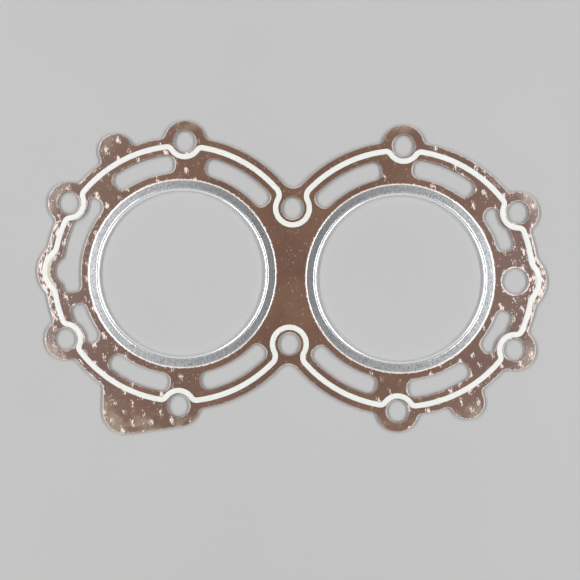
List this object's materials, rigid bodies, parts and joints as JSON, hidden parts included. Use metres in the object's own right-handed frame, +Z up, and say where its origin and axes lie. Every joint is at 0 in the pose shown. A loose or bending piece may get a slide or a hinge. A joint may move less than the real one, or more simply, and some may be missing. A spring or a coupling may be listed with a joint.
{
  "type": "cylinder head gasket",
  "caption": "Flat figure-eight sheet gasket for a twin cylinder head, with steel-lined bores, curved coolant slots, bolt holes in round ears and a raised sealing bead along its outline.",
  "frame": {"origin": "midway between the bores, on the plane the gasket rests on", "axes": "+X along the row of bores to the end with the round coolant hole, +Y across the sheet away from the corner tab, +Z up through the sheet"},
  "size_m": [0.2188, 0.1355, 0.0018],
  "materials": {
    "coated_sheet": "satin brown coating",
    "ring_steel": "bright zinc-plated steel strip",
    "bead": "matt white printed elastomer"
  },
  "bodies": {
    "root": {"gasket_body": "coated_sheet", "fire_ring_left": "ring_steel", "fire_ring_right": "ring_steel", "sealing_bead_top": "bead", "sealing_bead_bottom": "bead"}
  },
  "joints": []
}
